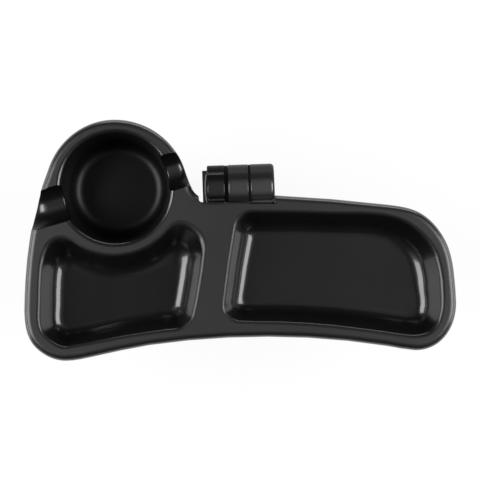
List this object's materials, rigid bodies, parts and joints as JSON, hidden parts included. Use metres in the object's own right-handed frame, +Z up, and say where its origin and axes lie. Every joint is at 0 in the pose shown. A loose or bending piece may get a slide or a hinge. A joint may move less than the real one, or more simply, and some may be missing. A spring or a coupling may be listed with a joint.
{
  "type": "stroller snack tray",
  "caption": "Moulded stroller snack tray with a notched cup well and two snack pockets, on a tilting hinge and a screw clamp for the bumper bar.",
  "frame": {"origin": "centre of the bumper bar that the clamp grips, halfway along the clamp", "axes": "+X along the bar and the tilt hinge, to the right for someone who looks down on the tray from the child's side; +Y away from the child, to the stroller's front; +Z up"},
  "size_m": [0.3388, 0.1893, 0.1502],
  "materials": {
    "tray_shell": "satin moulded black plastic",
    "hinge_bracket": "matt black glass-filled nylon",
    "bracket_screw_1": "zinc-plated steel",
    "bracket_screw_2": "zinc-plated steel",
    "bracket_screw_3": "zinc-plated steel",
    "tilt_bolt": "zinc-plated steel",
    "friction_washer": "matt black rubber",
    "thrust_washer": "smooth black plastic",
    "tilt_knob": "semi-gloss black plastic",
    "knob_nut": "plain brass",
    "knob_cap": "semi-gloss black plastic",
    "clamp_frame": "matt black glass-filled nylon",
    "upper_pad": "matt black rubber",
    "clamp_insert": "plain brass",
    "clamp_jaw": "matt black glass-filled nylon",
    "jaw_pad": "matt black rubber",
    "clamp_screw": "zinc-plated steel",
    "clamp_knob": "semi-gloss black plastic",
    "knob_pin": "zinc-plated steel",
    "jaw_clip": "spring steel"
  },
  "bodies": {
    "clamp": {"clamp_frame": "clamp_frame", "upper_pad": "upper_pad", "clamp_insert": "clamp_insert"},
    "tray": {"tray_shell": "tray_shell", "hinge_bracket": "hinge_bracket", "bracket_screw_1": "bracket_screw_1", "bracket_screw_2": "bracket_screw_2", "bracket_screw_3": "bracket_screw_3", "tilt_bolt": "tilt_bolt", "friction_washer": "friction_washer"},
    "washer": {"thrust_washer": "thrust_washer"},
    "knob": {"tilt_knob": "tilt_knob", "knob_nut": "knob_nut", "knob_cap": "knob_cap"},
    "jaw": {"clamp_jaw": "clamp_jaw", "jaw_pad": "jaw_pad"},
    "spindle": {"clamp_screw": "clamp_screw", "clamp_knob": "clamp_knob", "knob_pin": "knob_pin", "jaw_clip": "jaw_clip"}
  },
  "joints": [
    {"name": "tray_tilt", "type": "hinge", "parent": "clamp", "child": "tray", "pos_m": [0, 0.01, 0.06], "axis": [1, 0, 0], "range_deg": [-30, 10]},
    {"name": "tilt_knob_travel", "type": "slide", "parent": "tray", "child": "washer", "axis": [-1, 0, 0], "range_m": [0, 0.00187]},
    {"name": "tilt_knob_turn", "type": "hinge", "parent": "washer", "child": "knob", "pos_m": [0, 0.01, 0.06], "axis": [-1, 0, 0], "range_deg": [0, 540]},
    {"name": "jaw_travel", "type": "slide", "parent": "clamp", "child": "jaw", "axis": [0, 0, 1], "range_m": [-0.006, 0.01]},
    {"name": "clamp_screw_turn", "type": "hinge", "parent": "jaw", "child": "spindle", "pos_m": [0, 0, -0.03], "axis": [0, 0, 1], "range_deg": [-540, 900]}
  ],
  "couplings": [
    {"joint": "tilt_knob_turn", "follows": "tilt_knob_travel", "rad_per_m": 5026.5},
    {"joint": "clamp_screw_turn", "follows": "jaw_travel", "rad_per_m": 1570.8}
  ]
}
